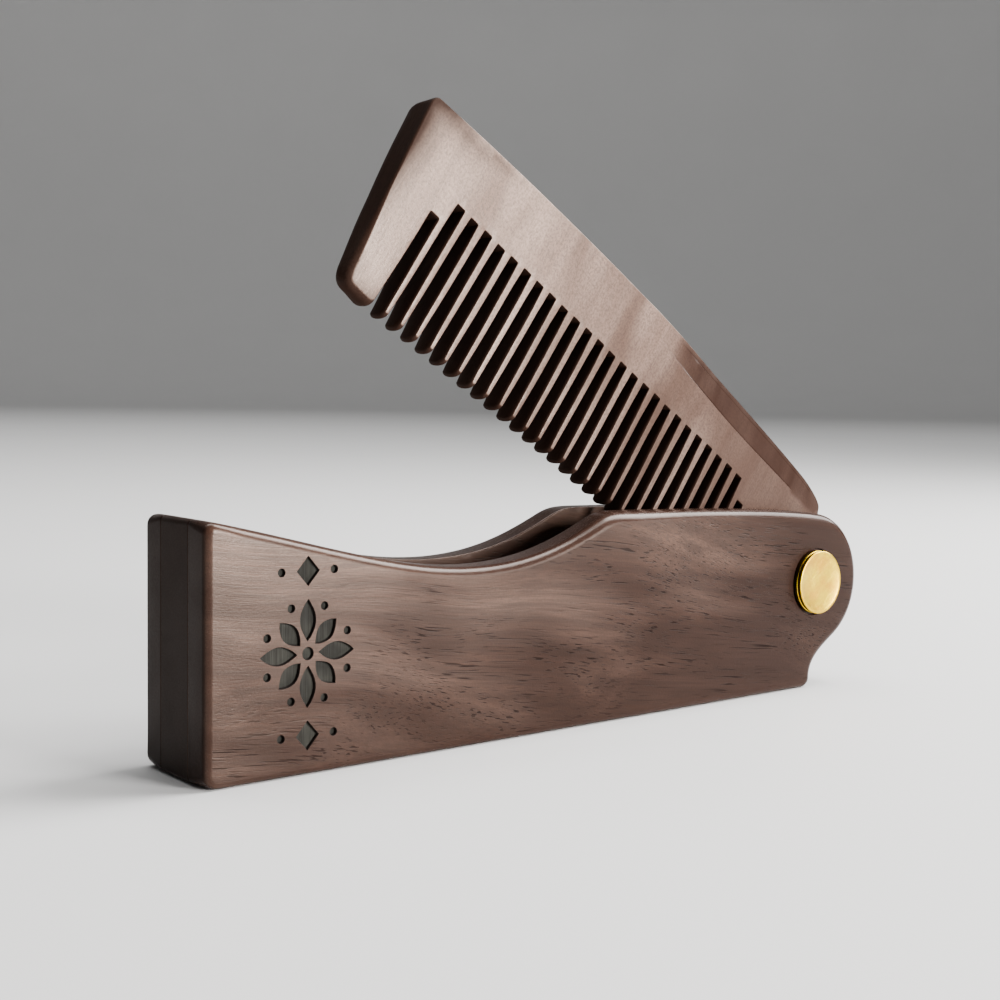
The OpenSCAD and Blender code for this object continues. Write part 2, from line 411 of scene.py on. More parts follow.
def handle_outline(r):
    """Clockwise from the foot of the butt, whose corners have radius r."""
    end_top = Vector((PIVOT_X, PIVOT.z)) + END_R * Vector((cos(radians(END_TOP)), sin(radians(END_TOP))))
    end_foot = Vector((PIVOT_X, PIVOT.z)) + END_R * Vector((cos(radians(END_FOOT)), sin(radians(END_FOOT))))
    top_way = Vector((-sin(radians(END_TOP)), cos(radians(END_TOP))))
    foot_way = Vector((sin(radians(END_FOOT)), -cos(radians(END_FOOT))))
    dip = ((0.5, BUTT_H - 0.1), (0.38 * DIP[0], BUTT_H - 3), (0.7 * DIP[0], DIP[1]), DIP)
    dip_start = (r - 0.5) / (3 * (dip[1][0] - dip[0][0]))
    dip_points = bezier(*dip, 44, dip_start)
    dip_way = (Vector(dip[1]) - Vector(dip[0])).normalized()
    rise = Vector((KNEE[0] - 4.8, KNEE[1] - 0.85))
    foot_r = max(0.7, r)
    return (
        line((0, r), (0, BUTT_H - r), 18)
        + bezier((0, BUTT_H - r), (0, BUTT_H - 0.42 * r),
                 dip_points[0] - 0.58 * r * dip_way, dip_points[0], 8)
        + dip_points
        + bezier(DIP, (DIP[0] + 9, DIP[1]), rise - Vector((5.7, 2.6)), rise, 28)
        + bezier(rise, rise + Vector((1.7, 0.78)), (KNEE[0] - 1.8, KNEE[1]), KNEE, 10)
        + bezier(KNEE, (KNEE[0] + 14, KNEE[1] - 0.25), end_top + 7.5 * top_way, end_top, 40)
        + arc((PIVOT_X, PIVOT.z), END_R, END_TOP, END_FOOT, 52)
        + bezier(end_foot, end_foot + 2.7 * foot_way, (FOOT_X + 0.4, 4.2), (FOOT_X, foot_r), 14)
        + arc((FOOT_X - foot_r, foot_r), foot_r, 0, -90, 6)
        + line((FOOT_X - foot_r, 0), (r, 0), 80)
        + arc((r, r), r, 270, 180, 6)
    )


def outer_edge(p):
    """The round-over of a scale's outer edge is widest over the knee and narrow at the foot."""
    knee = exp(-((p.x - KNEE[0] - 2) / 9) ** 2) * smooth_step(15, 22, p.y)
    foot = smooth_step(4, 0, p.y)
    butt = smooth_step(6, 1.5, p.x)
    size = 1.2 + 0.35 * knee - 0.45 * foot - 0.3 * butt * (1 - foot)
    return (size, size * 1.05)


def outer_face(x, z):
    """A sanded face: slightly wavy."""
    return SCALE_T - 0.03 - 0.03 * noise.noise(Vector((x / 16, z / 9, 3)))


def handle_place(side):
    """From the scale's own drawing, with its inner face at 0, to its place on one side of the channel."""
    turn = Matrix.Diagonal((1, side, 1, 1))
    return Matrix.Translation((BUTT_X, side * CHANNEL_W / 2, 0)) @ turn


def circle_outline(centre, r, steps):
    """A small clockwise circle."""
    return arc(centre, r, 360, 0, steps)


def petal(angle, near, far, half, steps=9):
    """A lens between two radii about the motif's centre, clockwise."""
    out = Vector((cos(angle), sin(angle)))
    left = Vector((-out.y, out.x))
    points = []
    for i in range(steps):
        t = i / steps
        points.append(MOTIF + out * (near + (far - near) * t) + left * (half * sin(pi * t) + 0.06))
    for i in range(steps):
        t = 1 - i / steps
        points.append(MOTIF + out * (near + (far - near) * t) - left * (half * sin(pi * t) + 0.06))
    return points


def lozenge(centre, half_w, half_h):
    corners = [(-half_w, 0), (0, half_h), (half_w, 0), (0, -half_h)]
    points = []
    for i, corner in enumerate(corners):
        points += line(centre + Vector(corner), centre + Vector(corners[(i + 1) % 4]), 5)
    return points


def ornament():
    """A plain rosette between two lozenges, each with a dot on either side."""
    shapes = []
    for k in range(8):
        shapes.append(petal(radians(45 * k), 1.35, 6.1 if k % 2 == 0 else 5.2, 1.0))
        between = radians(45 * k + 22.5)
        shapes.append(circle_outline(MOTIF + 5.6 * Vector((cos(between), sin(between))), 0.5, 14))
    shapes.append(circle_outline(MOTIF, 0.75, 18))
    for side in (-1, 1):
        centre = MOTIF + Vector((0, side * 9.2))
        shapes.append(lozenge(centre, 1.5, 1.7))
        for across in (-3.4, 3.4):
            shapes.append(circle_outline(centre + Vector((across, 0)), 0.5, 14))
    return shapes


def scale_piece(name, node, side, recesses):
    inner, outer = handle_outline(INNER_CORNER_R), handle_outline(OUTER_CORNER_R)
    inner_edges = [CHANNEL_EDGE] * len(inner)
    outer_edges = [outer_edge(p) for p in outer]
    seat = SCALE_T - SEAT_DEEP
    path = [(SEAT_R + 0.05, None), (SEAT_R, SCALE_T - 0.12), (SEAT_R, seat), (BORE_R, seat - 0.02),
            (BORE_R, 0.1), (BORE_R + 0.08, None)]
    border = np.array([tuple(p) for p in outer])

    def rim_of(p):
        return 0.65 * exp(-(from_border(p, border) / 1.5) ** 1.5)

    shape = slab(inner, outer, inner_edges, outer_edges, lambda x, z: 0.0, outer_face, 1.8,
                 bores=[((PIVOT_X, PIVOT.z), path)], recesses=recesses, rim_of=rim_of)
    materials = [handle_wood, burnt_wood]
    make_piece(name, shape, handle_place(side), materials, "handle", node)


def spacer_piece(name, node, outline):
    """A flat filler between the scales, with edges just broken, so that its glue lines show."""
    edges = [GLUED_EDGE] * len(outline)
    low, high = -CHANNEL_W / 2, CHANNEL_W / 2
    shape = slab(outline, outline, edges, edges, lambda x, z: low, lambda x, z: high, 3)
    place = Matrix.Translation((BUTT_X, 0, 0))
    make_piece(name, shape, place, [spacer_wood], "handle", node)


def butt_spacer_outline():
    length = spacer_high.x - BUTT_X
    near = [p for p in handle_outline(INNER_CORNER_R) if p.x < length - 0.3]
    upper = [p for p in near if p.y > BUTT_H / 2]
    lower = [p for p in near if p.y <= BUTT_H / 2]
    end_z = upper[-1].y - 0.08
    return (
        [p for p in lower if p.x == 0] + upper
        + line((length, end_z), (length, 0), 10) + [Vector((length, 0))]
        + [p for p in lower if p.x > 0]
    )


def back_spacer_outline():
    start = strip_low.x - BUTT_X
    stop = strip_high.x - BUTT_X
    nose_h = strip_high.z
    nose_x = stop - NOSE_LEN
    return (
        line((start, 0), (start, STRIP_H), 2)
        + line((start, STRIP_H), (nose_x - 2, STRIP_H), 30)
        + bezier((nose_x - 2, STRIP_H), (nose_x - 1, STRIP_H), (nose_x - 1, nose_h), (nose_x, nose_h), 8)
        + line((nose_x, nose_h), (stop, nose_h), 8)
        + line((stop, nose_h), (stop, 0), 4)
        + line((stop, 0), (start, 0), 40)
    )


# ---- The comb blade, drawn closed, about the pivot ----


def gap_x(n):
    return FIRST_GAP + TOOTH_PITCH * n


def tip_z(x):
    return -11.2 - 0.00058 * (x + 20) ** 2


def hand_cut(n, size):
    """A small fixed unevenness from one tooth to the next."""
    return size * sin(n * 2.4 + 1.3 * sin(n * 5.1))


def root_z(n):
    ends = {0: 0.9, TOOTH_COUNT: 2.9}
    return ends.get(n, 4.15 + 0.03 * TOOTH_PITCH * (n - 1)) + hand_cut(n, 0.06)


def end_x(z):
    """The free end, which leans outwards towards the spine."""
    return 2.3 - BLADE_LEN - (z + 12.6) * 2.3 / 23.6


def gap_low(n):
    """Height of the teeth's tips beside a gap."""
    return tip_z(gap_x(n)) + hand_cut(n + 0.5, 0.05)


def tooth_edges(z, low):
    """The front and the rear edge of a tooth at height z: crisp at the root, worn round at the tip. An edge is
    (inset, depth, shift along X, shift up)."""
    worn = exp(-max(0, z - low) / 2.2)
    lift = exp(-max(0, z - low) / 0.8)
    middle = smooth_step(4.2, 1.5, z)
    front = (0.12 + 0.12 * middle + 0.04 * worn, 0.25 + 0.25 * middle + 0.75 * worn, 0, TIP_LIFT * lift)
    rear = (0.14 + 0.1 * middle + 0.04 * worn, 0.35 + 0.2 * middle + 0.95 * worn, 0, 0.5 * TIP_LIFT * lift)
    return front, rear


def spine_curve(start):
    return bezier(start, (-66, 14.75), (-30, 16), SHOULDER, SPINE_STEPS)


# Where the spine starts at the free end, on the front face and on the rear one
SPINE_FRONT = Vector((1.1 - BLADE_LEN, 12.68))
SPINE_REAR = Vector((1.9 - BLADE_LEN, 12.78))
spine_points = spine_curve(SPINE_FRONT) + [SHOULDER, Vector((-2.1, 13.9)), Vector((0, 12.6))]


def spine_z(x):
    return float(np.interp(x, [p.x for p in spine_points], [p.y for p in spine_points]))


def gap_side(n, side):
    """One side of a gap, from the tip up: 1 is the side towards the pivot and -1 towards the free end."""
    x = gap_x(n)
    a = Vector((x + side * GAP_TIP / 2, gap_low(n) + TIP_R))
    b = Vector((x + side * GAP_ROOT / 2, root_z(n) - 0.12))
    bow = side * (-0.03 + hand_cut(n + side, 0.035))
    wave = hand_cut(2 * n + side, 0.022)
    points = []
    for i in range(GAP_STEPS + 1):
        bent = bow * sin(pi * i / GAP_STEPS) + wave * sin(2 * pi * i / GAP_STEPS)
        points.append(a.lerp(b, i / GAP_STEPS) + Vector((bent, 0)))
    return points


def gap_floor(n):
    """The square root of a gap, from the pivot's side, with its corners just broken."""
    corners = ((1, 0.03, 0.03), (1, 0.12, 0), (1, 0.4, 0), (-1, 0.4, 0), (-1, 0.12, 0), (-1, 0.03, 0.03))
    x, root = gap_x(n), root_z(n)
    return [Vector((x + side * (GAP_ROOT / 2 - inset), root - drop)) for side, inset, drop in corners]


def tooth_tip(n, start):
    """The round tip between gap n, where it starts, and the next gap towards the free end."""
    end = Vector((gap_x(n - 1) + GAP_TIP / 2, gap_low(n - 1) + TIP_R))
    middle, half = (start + end) / 2, (start.x - end.x) / 2
    return [middle + Vector((half * cos(t), -TIP_R * sin(t))) for t in (pi * i / 9 for i in range(1, 9))]


def gap_path(n):
    """The outline up one side of a gap, down the other and round the tooth after it."""
    right, left = gap_side(n, 1), gap_side(n, -1)
    path = right + gap_floor(n) + left[::-1]
    if n == TOOTH_COUNT:
        x, low = gap_x(n) + GAP_TIP / 2, gap_low(n)
        start = Vector((x + 0.6, low))
        path = bezier(start, (start.x - 0.35, low), (x, low + 0.25), right[0], 6) + path
    if n > 0:
        path += tooth_tip(n, left[0])
    return path


def blend(a, b):
    """Turns smoothly from one edge to another as t goes from 0 to 1."""
    return lambda t: tuple(x + (y - x) * smooth_step(0, 1, t) for x, y in zip(a, b))


def blade_stations():
    """The outline's points as (front point, rear point, front edge, rear edge), clockwise."""
    stations = []

    def add(front, rear, front_edge, rear_edge):
        for i, (p, q) in enumerate(zip(front, rear)):
            t = i / len(front)
            front_now = front_edge(t) if callable(front_edge) else front_edge
            rear_now = rear_edge(t) if callable(rear_edge) else rear_edge
            stations.append((p, q, front_now, rear_now))

    foot_front, foot_rear = (0.9, 1.1, 0, 0), (1.2, 1.5, 0, 0)
    end_front, end_rear, end_turn = (0.3, 0.5, 0, 0), (0.8, 1.7, 0, 0), (0, 2.5, 0.9, -0.8)
    spine_turn, top_rear, spine_rear = (0, 2.6, 1.1, -1.7), (2.0, 2.6, 0, 0), (1.0, 1.2, 0, 0)
    crisp, tang, lip = (0.2, 0.25, 0, 0), (0.3, 0.3, 0, 0), (0.35, 0.5, 0, 0)

    low_z, mid_z, top_z = -11.4, 1.5, 11.2
    low, mid, top = (Vector((end_x(z), z)) for z in (low_z, mid_z, top_z))
    front_low, front_mid, front_top = (q + Vector((0.15, 0)) for q in (low, mid, top))
    add(line(front_low, front_mid, END_STEPS), line(low, mid, END_STEPS),
        blend(foot_front, end_front), blend(foot_rear, end_rear))
    add(line(front_mid, front_top, END_STEPS), line(mid, top, END_STEPS), end_front, blend(end_rear, end_turn))
    add(bezier(front_top, (front_top.x - 0.08, 12.2), (SPINE_FRONT.x - 0.5, 12.62), SPINE_FRONT, END_STEPS),
        bezier(top, (top.x - 0.08, 12.0), (SPINE_REAR.x - 0.7, 12.68), SPINE_REAR, END_STEPS),
        blend(end_front, crisp), blend(end_turn, spine_turn))
    add(spine_curve(SPINE_FRONT), spine_curve(SPINE_REAR),
        lambda t: blend(crisp, lip)(smooth_step(0.55, 0.95, t)),
        lambda t: blend(blend(spine_turn, top_rear)(t / 0.08), spine_rear)(smooth_step(0.06, 1, t)))

    corner = bezier(SHOULDER, (-3.3, 14.1), (-0.2, 13.5), (0, 12.4), 10) + line((0, 12.4), (0, TANG_R), 3)
    add(corner, corner, blend(lip, tang), blend(spine_rear, tang))
    last = gap_x(TOOTH_COUNT)
    round_tang = arc((0, 0), TANG_R, 90, -90, 36) + line((0, -TANG_R), (last + 3, -TANG_R), 9)
    add(round_tang, round_tang, tang, tang)
    foot = bezier((last + 3, -TANG_R), (last + 2.4, -TANG_R), (last + 2.2, tip_z(last)),
                  (last + GAP_TIP / 2 + 0.6, tip_z(last)), 6)
    add(foot, foot, blend(tang, (0.35, 0.9, 0, 0)), blend(tang, (0.4, 1.2, 0, 0)))

    for n in range(TOOTH_COUNT, -1, -1):
        for p in gap_path(n):
            front, rear = tooth_edges(p.y, gap_low(n))
            stations.append((p, p, front, rear))

    x, tip = gap_x(0) - GAP_TIP / 2, tip_z(gap_x(0))
    guard = bezier((x, tip + 0.5), (x, tip + 0.1), (x - 0.3, tip - 0.12), (x - 0.9, tip - 0.15), 7)[1:]
    tip_front, tip_rear = tooth_edges(tip, tip)
    add(guard, guard, tip_front, tip_rear)
    heel = (front_low.x + 1.9, tip - 0.05)
    sole = line((x - 0.9, tip - 0.15), heel, 6)
    add(sole, sole, blend(tip_front, foot_front), blend(tip_rear, foot_rear))
    add(bezier(heel, (heel[0] - 1.2, tip), (front_low.x + 0.25, -12.8), front_low, 9),
        bezier(heel, (heel[0] - 1.2, tip), (low.x + 0.25, -12.8), (low.x, low_z), 9), foot_front, foot_rear)
    return stations


def bevel_line(x):
    """Height of the crease where the blade's front starts to slope back towards the spine, near the tang."""
    return 10.7 + 0.0042 * max(0, -18 - x) ** 1.75


def ledge_line(x):
    """Height of a second, finer step that runs along just inside the spine's edge."""
    return spine_z(x) - LEDGE_IN - 0.12 * noise.noise(Vector((x / 5, 4, 0)))


def bevel_share(x):
    return smooth_step(BEVEL_START, BEVEL_FULL, x)


def blade_front(x, z):
    """The front face: flat, sloped back over the bevel, and falling away a little below and to the free end."""
    line_z = bevel_line(x)
    beyond = z - line_z
    drop = BEVEL_STEP * min(1, max(0, beyond / 0.12)) + BEVEL_DROP * min(1, max(0, beyond / 4))
    ledge = LEDGE_STEP * smooth_step(-40, -30, x) * min(1, max(0, (z - ledge_line(x)) / 0.1))
    wave = 0.03 * noise.noise(Vector((x / 14, z / 9, 7)))
    below = 0.12 * smooth_step(-4, -13, z)
    return -BLADE_T / 2 + 0.03 + bevel_share(x) * drop + ledge + wave + below


def blade_rear(x, z):
    """The rear face, planed towards the teeth's tips."""
    thin = 0.6 * smooth_step(8, -5, z) + 1.1 * smooth_step(-3, -14, z)
    return BLADE_T / 2 - 0.05 - thin * smooth_step(-8, -17, x) + 0.03 * noise.noise(Vector((x / 14, z / 9, 11)))


def blade_rim(p, border):
    """How dark and worn the front face is at a place: along its ends, widest at the free end's upper corner,
    down the sloped part and at its steps. The darkness is painted shade where the face turns from the light,
    with painted shadows along the bevel's crease and the ledge's step; along the ends it is partly wear.
    """
    corner = smooth_step(-68, -90, p.x) * smooth_step(-8, 10, p.y)
    corner = max(corner, 0.6 * smooth_step(-7.5, -11.5, p.y) * smooth_step(-80, -87, p.x))
    width = 0.5 + 2.9 * corner
    edge = (0.55 + 0.45 * corner) * exp(-(from_border(p, border) / width) ** 1.4)
    beyond = p.y - bevel_line(p.x)
    band = 0.78 + 0.22 * exp(-((beyond - 0.12) / 0.14) ** 2)
    past = p.y - ledge_line(p.x)
    step = smooth_step(-41, -37, p.x) * exp(-((past - 0.1) / 0.16) ** 2)
    slope = smooth_step(0, 0.7, bevel_share(p.x)) * band * smooth_step(-0.02, 0.1, beyond)
    return min(1, max(edge, step, slope))


def blade_creases():
    """Lines that the front's triangles follow, just beside the bevel's crease and the ledge's step."""
    start, step = BEVEL_START + 2, 1.1
    bevel_xs = [start + step * i for i in range(int((BEVEL_END - start) / step))]
    ledge_xs = [-39 + 0.9 * i for i in range(40)]
    creases = [[(x, bevel_line(x) + up) for x in bevel_xs] for up in (-0.02, 0.12, 0.4)]
    creases += [[(x, ledge_line(x) + up) for x in ledge_xs] for up in (0, 0.1, 0.3)]
    return creases


def lighten_spine(shape):
    """Takes most of the rim's darkening, partly wear and partly painted shade, off the spine's front edge,
    between the corner and the bevel.
    """
    for i, p in enumerate(shape.points):
        if p.y > 1.8 and abs(spine_z(p.x) - p.z) < 0.3:
            shape.rims[i] *= 1 - 0.8 * smooth_step(-88, -80, p.x) * smooth_step(-30, -44, p.x)


def blade_piece():
    stations = blade_stations()
    front, rear, front_edges, rear_edges = ([s[k] for s in stations] for k in range(4))
    worn = front[:3 * END_STEPS + SPINE_STEPS] + front[-FOOT_STEPS:]
    border = np.array([tuple(p) for p in worn])
    bore = ((0, 0), [(BORE_R + 0.1, None), (BORE_R, 2.2), (BORE_R, -2.2), (BORE_R + 0.1, None)])
    # The slab's high face takes the creases, so the blade is drawn with its front on the high side and mirrored
    shape = slab(rear, front, rear_edges, front_edges,
                 lambda x, z: -blade_rear(x, z), lambda x, z: -blade_front(x, z), 1.0,
                 bores=[bore], creases=blade_creases(), rim_of=lambda p: blade_rim(p, border))
    lighten_spine(shape)
    place = (Matrix.Translation(PIVOT) @ Matrix.Rotation(radians(OPEN_ANGLE), 4, "Y")
             @ Matrix.Diagonal((1, -1, 1, 1)))
    make_piece("blade_body", shape, place, [blade_wood], "blade", "comb_blade")


# ---- The brass pivot ----


def head_profile():
    """A flat head with a fine raised rim, a bevel and a groove round its side, down into its seat."""
    top = HEAD_OUT
    return [
        (0, top - 0.06), (2.0, top - 0.06), (HEAD_R - 0.5, top - 0.06), (HEAD_R - 0.42, top - 0.02),
        (HEAD_R - 0.36, top), (HEAD_R - 0.14, top), (HEAD_R - 0.06, top - 0.03), (HEAD_R, top - 0.1),
        (HEAD_R, top - 0.5), (HEAD_R - 0.07, top - 0.56), (HEAD_R - 0.07, top - 0.66),
        (HEAD_R, top - 0.72), (HEAD_R, HEAD_FOOT + 0.05), (HEAD_R - 0.05, HEAD_FOOT),
    ]


def pivot_pieces():
    barrel_end = HANDLE_OUT - 0.4
    screw_end = HANDLE_OUT - 9.5
    thread_r, thread_end, shank_r = 1.55, 3.3, 1.5
    place = Matrix.Translation(PIVOT)
    barrel = [(BARREL_R, HEAD_FOOT), (BARREL_R, -barrel_end), (thread_r, -barrel_end),
              (thread_r, thread_end), (0, thread_end)]
    post = lathe(head_profile() + barrel, -1)
    make_piece("post_head", post, place, [brass], "handle", "pivot_post", 30)
    shank = [(shank_r, HEAD_FOOT), (shank_r, screw_end + 0.2), (shank_r - 0.2, screw_end), (0, screw_end)]
    screw = lathe(head_profile() + shank, 1)
    piece = make_piece("screw_head", screw, place, [brass], "handle", "pivot_screw", 30)
    cut_slot(piece)


def cut_slot(piece):
    """A screwdriver slot across the rear head."""
    slot_w, slot_deep, over = 1.0, 0.5, 1.0
    low = Vector((-2 * HEAD_R, HEAD_OUT - slot_deep, -slot_w / 2))
    high = Vector((2 * HEAD_R, HEAD_OUT + over, slot_w / 2))
    cutter_mesh = bpy.data.meshes.new("slot_cutter")
    work = bmesh.new()
    bmesh.ops.create_cube(work, size=1)
    for v in work.verts:
        v.co = (PIVOT + (low + high) / 2 + Vector(a * b for a, b in zip(v.co, high - low))) * MM
    work.to_mesh(cutter_mesh)
    work.free()
    cutter = bpy.data.objects.new("slot_cutter", cutter_mesh)
    bpy.context.scene.collection.objects.link(cutter)
    cut = piece.modifiers.new("Slot", "BOOLEAN")
    cut.object, cut.operation, cut.solver = cutter, "DIFFERENCE", "EXACT"
    piece.modifiers.move(1, 0)
    bpy.context.view_layer.update()
    done = bpy.data.meshes.new_from_object(piece.evaluated_get(bpy.context.evaluated_depsgraph_get()))
    piece.modifiers.clear()
    piece.data = done
    bpy.data.objects.remove(cutter)


# ---- Materials ----


class Nodes:
    """Makes and links shader nodes with little text."""

    def __init__(self, name):
        self.material = bpy.data.materials.new(name)
        self.material.use_nodes = True
        self.tree = self.material.node_tree
        self.tree.nodes.clear()
        self.output = self.tree.nodes.new("ShaderNodeOutputMaterial")
        self.shader = self.tree.nodes.new("ShaderNodeBsdfPrincipled")
        self.tree.links.new(self.shader.outputs[0], self.output.inputs[0])

    def put(self, socket, value):
        if isinstance(value, bpy.types.NodeSocket):
            self.tree.links.new(value, socket)
        else:
            socket.default_value = value

    def node(self, kind, inputs=(), out=0, **settings):
        made = self.tree.nodes.new("ShaderNode" + kind)
        for key, value in settings.items():
            setattr(made, key, value)
        for key, value in dict(inputs).items():
            self.put(made.inputs[key], value)
        return made.outputs[out]

    def math(self, operation, a, b=0.0, clamp=False):
        return self.node("Math", {0: a, 1: b}, operation=operation, use_clamp=clamp)

    def grain_space(self, angle):
        """Object coordinates in millimetres, turned about Y so that the grain runs along X."""
        place = self.node("TexCoord", out="Object")
        return self.node("Mapping", {"Vector": place, "Rotation": (0, radians(angle), 0), "Scale": (1000,) * 3})

    def stretch(self, vector, lengths):
        """Coordinates in which one unit is as long as each length, in millimetres."""
        return self.node("Mapping", {"Vector": vector, "Scale": tuple(1 / n for n in lengths)})

    def noise(self, vector, detail=2.0, rough=0.5, distort=0.0):
        return self.node("TexNoise", {"Vector": vector, "Scale": 1.0, "Detail": detail, "Roughness": rough,
                                      "Distortion": distort})

    def between(self, value, low, high, to_low=0.0, to_high=1.0):
        return self.node("MapRange", {"Value": value, 1: low, 2: high, 3: to_low, 4: to_high}, clamp=True)

    def mix(self, share, a, b):
        """Mixes two colours. Sockets 0, 6 and 7 of the node are the share and the colours."""
        colors = [c if isinstance(c, bpy.types.NodeSocket) else (*c, 1) for c in (a, b)]
        return self.node("Mix", {0: share, 6: colors[0], 7: colors[1]}, out=2, data_type="RGBA")

    def bump(self, height, distance, strength):
        return self.node("Bump", {"Height": height, "Distance": distance, "Strength": strength})

    def finish(self, color, roughness, normal, **plain):
        self.put(self.shader.inputs["Base Color"], color)
        self.put(self.shader.inputs["Roughness"], roughness)
        self.put(self.shader.inputs["Normal"], normal)
        for key, value in plain.items():
            self.shader.inputs[key.replace("_", " ")].default_value = value
        return self.material


def wood(name, angle, dark, middle, light, rim_color, rim_share, pore_share, streak, rough, polish, dull,
         gloss_level, wander, mottle, paler_end, darker_end):
    """Oiled close wood with drifting grain, short dark pores and darker end grain, drawn darker still as
    painted shade on the butt. Its colour goes from lighter to darker between two places, each given in
    millimetres along the grain space's X and Z: on the handle and the blade this is painted light and shade,
    with some natural tone. Edges and walls
    darken by the rim value: partly wear, partly painted shade. On worn edges, polish is taken off the
    roughness, and dull is the share of the shine that goes."""
    n = Nodes(name)
    place = n.grain_space(angle)
    rim = n.node("Attribute", out="Fac", attribute_name="rim")
    smooth = n.between(rim, 0.45, 0.9, 1.0, 0.0)
    drift = n.noise(n.stretch(place, (60, 22, 20)), 1.5)
    shifted = n.math("MULTIPLY", n.math("SUBTRACT", drift, 0.5), wander)
    move = n.node("CombineXYZ", {"Z": shifted, "Y": shifted})
    grain = n.node("VectorMath", {0: place, 1: move}, operation="ADD")
    tone = n.between(n.noise(n.stretch(grain, (26, 8, 7)), 2.0, 0.5, 0.3), 0.36, 0.66)
    bands = n.between(n.noise(n.stretch(grain, (46, 1.5, 1.2)), 4.0, 0.65), 0.38, 0.62)
    fibre = n.noise(n.stretch(grain, (9, 0.2, 0.17)), 2.0, 0.6)
    pores = n.noise(n.stretch(grain, (7.5, 0.17, 0.15)), 1.0, 0.4)
    crowd = n.noise(n.stretch(grain, (16, 6, 4)), 2.0)
    along = n.node("Mapping", {"Vector": place, "Location": (-paler_end[0], 0, -paler_end[1])})
    way = Vector((darker_end[0] - paler_end[0], 0, darker_end[1] - paler_end[1]))
    way /= way.length_squared
    share = n.node("VectorMath", {0: along, 1: tuple(way)}, out=1, operation="DOT_PRODUCT")
    share = n.math("ADD", share, n.math("MULTIPLY", n.math("SUBTRACT", tone, 0.5), -0.5))
    opened = n.math("MULTIPLY", n.between(pores, 0.59, 0.67), n.between(crowd, 0.32, 0.54))
    opened = n.math("MULTIPLY", opened, n.between(share, 0.1, 0.8, 0.2 * pore_share, pore_share))
    opened = n.math("MULTIPLY", opened, smooth)
    speckle = n.noise(n.stretch(place, (0.34, 0.34, 0.3)), 3.0, 0.65)
    color = n.mix(tone, middle, light)
    color = n.mix(n.math("MULTIPLY", bands, streak), color, dark)
    color = n.mix(n.between(fibre, 0.36, 0.66, 0.0, 0.8 * streak), color, dark)
    color = n.mix(n.math("MULTIPLY", n.between(speckle, 0.42, 0.66), mottle), color, dark)
    # Darker from the paler place towards the darker one: painted light and shade, with some natural tone.
    color = n.mix(n.between(share, 0, 1.25, 0.0, 0.8), color, dark)
    color = n.mix(opened, color, tuple(0.25 * c for c in dark))
    # Edges and walls go towards the rim colour: partly wear, partly painted shade in gaps, seats and crevices
    # and on faces turned from the light.
    edge = n.between(n.math("ADD", rim, n.math("MULTIPLY", n.math("SUBTRACT", crowd, 0.5), 0.5)), 0.08, 0.95)
    color = n.mix(n.math("MULTIPLY", edge, rim_share), color, rim_color)
    normal = n.node("TexCoord", out="Normal")
    facing = n.node("Mapping", {"Vector": normal, "Rotation": (0, radians(angle), 0)}, vector_type="VECTOR")
    across = n.node("SeparateXYZ", {0: facing}, out=0)
    end_grain = n.between(n.math("ABSOLUTE", across), 0.75, 0.97)
    # End grain goes darker, pushed past the wood's own colour as painted shade on the butt.
    color = n.mix(n.math("MULTIPLY", end_grain, 0.85), color, tuple(0.8 * c for c in dark))
    gloss = n.between(fibre, 0.3, 0.7, rough - 0.05, rough + 0.08)
    gloss = n.math("ADD", gloss, n.math("MULTIPLY", opened, 0.2))
    gloss = n.math("SUBTRACT", gloss, n.between(rim, 0.75, 1.0, 0.0, polish))
    gloss = n.math("ADD", gloss, n.math("MULTIPLY", end_grain, 0.25), clamp=True)
    relief = n.math("SUBTRACT", n.math("MULTIPLY", fibre, 0.7 * streak), opened)
    relief = n.math("ADD", relief, n.math("MULTIPLY", speckle, 0.6))
    relief = n.math("MULTIPLY", relief, n.between(smooth, 0, 1, 0.12, 1))
    shine = n.math("MULTIPLY", n.between(edge, 0, 1, gloss_level, gloss_level * (1 - dull)),
                   n.between(opened, 0, 1, 1, 0.3))
    shine = n.math("MULTIPLY", shine, n.between(share, 0, 1.1, 1.15, 0.35))
    shine = n.math("MULTIPLY", shine, n.between(end_grain, 0, 1, 1, 0.4))
    n.put(n.shader.inputs["Specular IOR Level"], shine)
    return n.finish(color, gloss, n.bump(relief, 0.00005, 0.6), Specular_Tint=(1, 0.83, 0.72, 1))


def burnt(name):
    """The floor of the recessed ornament: ashen, with the fine lines of its cutting."""
    n = Nodes(name)
    place = n.grain_space(0)
    lines = n.noise(n.stretch(place, (0.16, 1, 7)), 1.0, 0.5)
    patches = n.noise(n.stretch(place, (2.4, 2, 3.2)), 2.0, 0.5)
    color = n.mix(n.between(patches, 0.35, 0.65), (0.01, 0.0095, 0.0074), (0.023, 0.0222, 0.0178))
    color = n.mix(n.between(lines, 0.45, 0.7, 0.0, 0.6), color, (0.008, 0.007, 0.0055))
    side = n.node("SeparateXYZ", {0: n.node("TexCoord", out="Normal")}, out=1)
    color = n.mix(n.between(n.math("ABSOLUTE", side), 0.5, 0.9, 1, 0), color, (0.008, 0.005, 0.004))
    relief = n.math("ADD", lines, patches)
    return n.finish(color, n.between(lines, 0.3, 0.7, 0.62, 0.8), n.bump(relief, 0.00006, 0.6),
                    Specular_IOR_Level=0.12)


